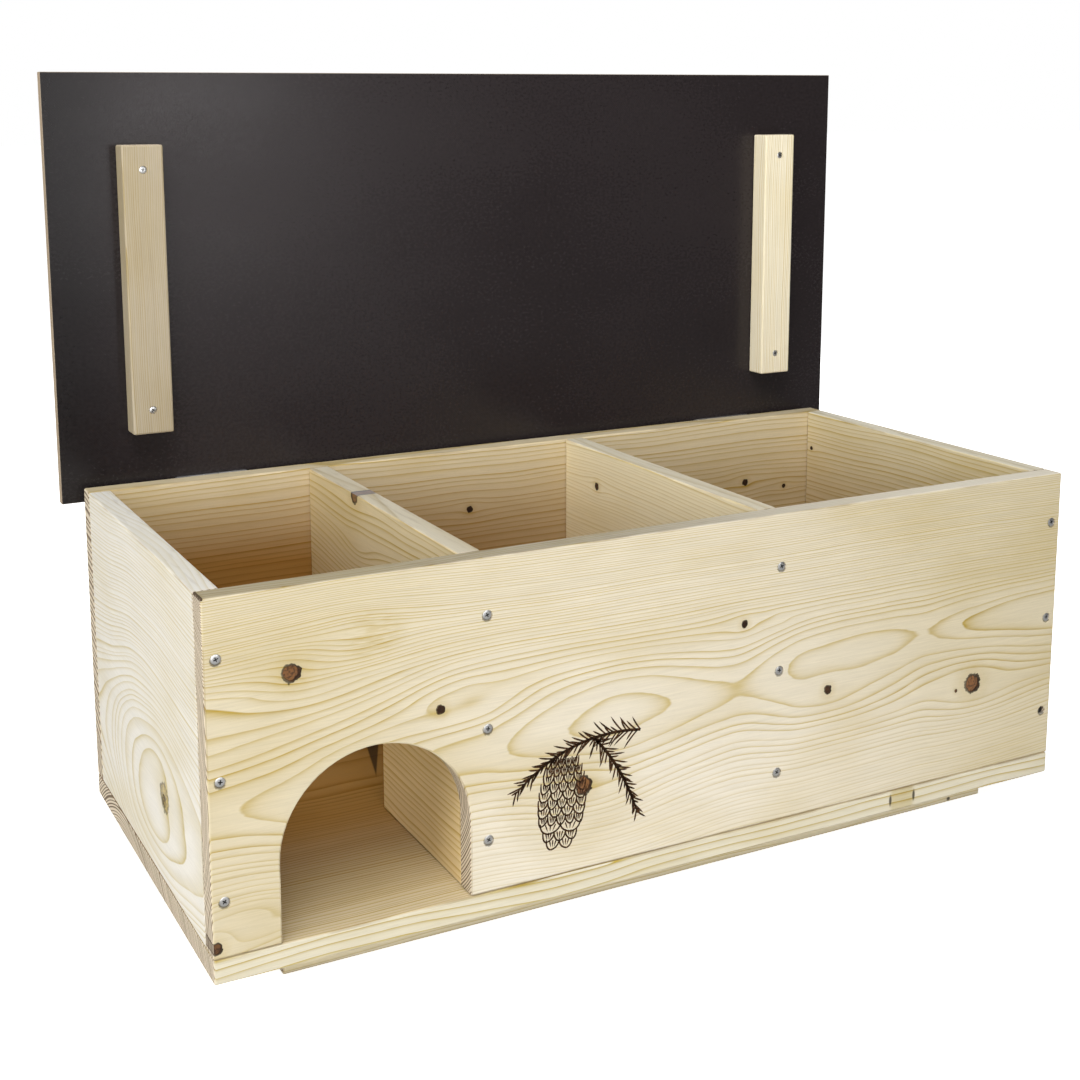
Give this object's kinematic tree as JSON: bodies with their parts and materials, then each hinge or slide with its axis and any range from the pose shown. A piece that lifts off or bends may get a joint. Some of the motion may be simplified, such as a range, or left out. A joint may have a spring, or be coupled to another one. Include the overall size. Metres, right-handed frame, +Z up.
{
  "type": "hedgehog house",
  "caption": "Wooden hedgehog house with an arched entrance, divided chambers, raised floor on runners and a hinged dark plywood lid that stands open.",
  "frame": {"origin": "on the ground, under the middle of the overall box with the lid open", "axes": "+X along the front to the right, +Y from the front to the back, +Z up"},
  "size_m": [0.784, 0.3536, 0.6259],
  "materials": {
    "front_panel_spruce": "planed, unfinished",
    "back_panel_spruce": "planed, unfinished",
    "left_side_spruce": "planed, unfinished",
    "right_side_spruce": "planed, unfinished",
    "divider_left_spruce": "planed, unfinished",
    "divider_right_spruce": "planed, unfinished",
    "floor_board_spruce": "planed, unfinished",
    "front_runner_spruce": "planed, unfinished",
    "rear_runner_spruce": "planed, unfinished",
    "lid_batten_left_spruce": "planed, unfinished",
    "lid_batten_right_spruce": "planed, unfinished",
    "film_faced_plywood": "satin film",
    "zinc_plated_steel": "zinc plated"
  },
  "bodies": {
    "box": {"front_panel": "front_panel_spruce", "back_panel": "back_panel_spruce", "left_side": "left_side_spruce", "right_side": "right_side_spruce", "divider_left": "divider_left_spruce", "divider_right": "divider_right_spruce", "floor_board": "floor_board_spruce", "front_runner": "front_runner_spruce", "rear_runner": "rear_runner_spruce", "left_hinge_body_leaf": "zinc_plated_steel", "right_hinge_body_leaf": "zinc_plated_steel", "left_hinge_pin": "zinc_plated_steel", "right_hinge_pin": "zinc_plated_steel", "front_screw_01": "zinc_plated_steel", "front_screw_02": "zinc_plated_steel", "front_screw_03": "zinc_plated_steel", "front_screw_04": "zinc_plated_steel", "front_screw_05": "zinc_plated_steel", "front_screw_06": "zinc_plated_steel", "front_screw_07": "zinc_plated_steel", "front_screw_08": "zinc_plated_steel", "front_screw_09": "zinc_plated_steel", "front_screw_10": "zinc_plated_steel", "front_screw_11": "zinc_plated_steel", "front_screw_12": "zinc_plated_steel", "back_screw_01": "zinc_plated_steel", "back_screw_02": "zinc_plated_steel", "back_screw_03": "zinc_plated_steel", "back_screw_04": "zinc_plated_steel", "back_screw_05": "zinc_plated_steel", "back_screw_06": "zinc_plated_steel", "back_screw_07": "zinc_plated_steel", "back_screw_08": "zinc_plated_steel", "floor_screw_01": "zinc_plated_steel", "floor_screw_02": "zinc_plated_steel", "floor_screw_03": "zinc_plated_steel", "floor_screw_04": "zinc_plated_steel", "floor_screw_05": "zinc_plated_steel", "floor_screw_06": "zinc_plated_steel", "runner_screw_01": "zinc_plated_steel", "runner_screw_02": "zinc_plated_steel", "runner_screw_03": "zinc_plated_steel", "runner_screw_04": "zinc_plated_steel", "hinge_body_screw_01": "zinc_plated_steel", "hinge_body_screw_02": "zinc_plated_steel", "hinge_body_screw_03": "zinc_plated_steel", "hinge_body_screw_04": "zinc_plated_steel"},
    "lid": {"lid_board": "film_faced_plywood", "lid_batten_left": "lid_batten_left_spruce", "lid_batten_right": "lid_batten_right_spruce", "left_hinge_lid_leaf": "zinc_plated_steel", "right_hinge_lid_leaf": "zinc_plated_steel", "batten_screw_01": "zinc_plated_steel", "batten_screw_02": "zinc_plated_steel", "batten_screw_03": "zinc_plated_steel", "batten_screw_04": "zinc_plated_steel", "hinge_lid_screw_01": "zinc_plated_steel", "hinge_lid_screw_02": "zinc_plated_steel", "hinge_lid_screw_03": "zinc_plated_steel", "hinge_lid_screw_04": "zinc_plated_steel"}
  },
  "joints": [
    {"name": "lid_hinge", "type": "hinge", "parent": "box", "child": "lid", "pos_m": [0, 0.1645, 0.2836], "axis": [1, 0, 0], "range_deg": [0, 90]}
  ]
}
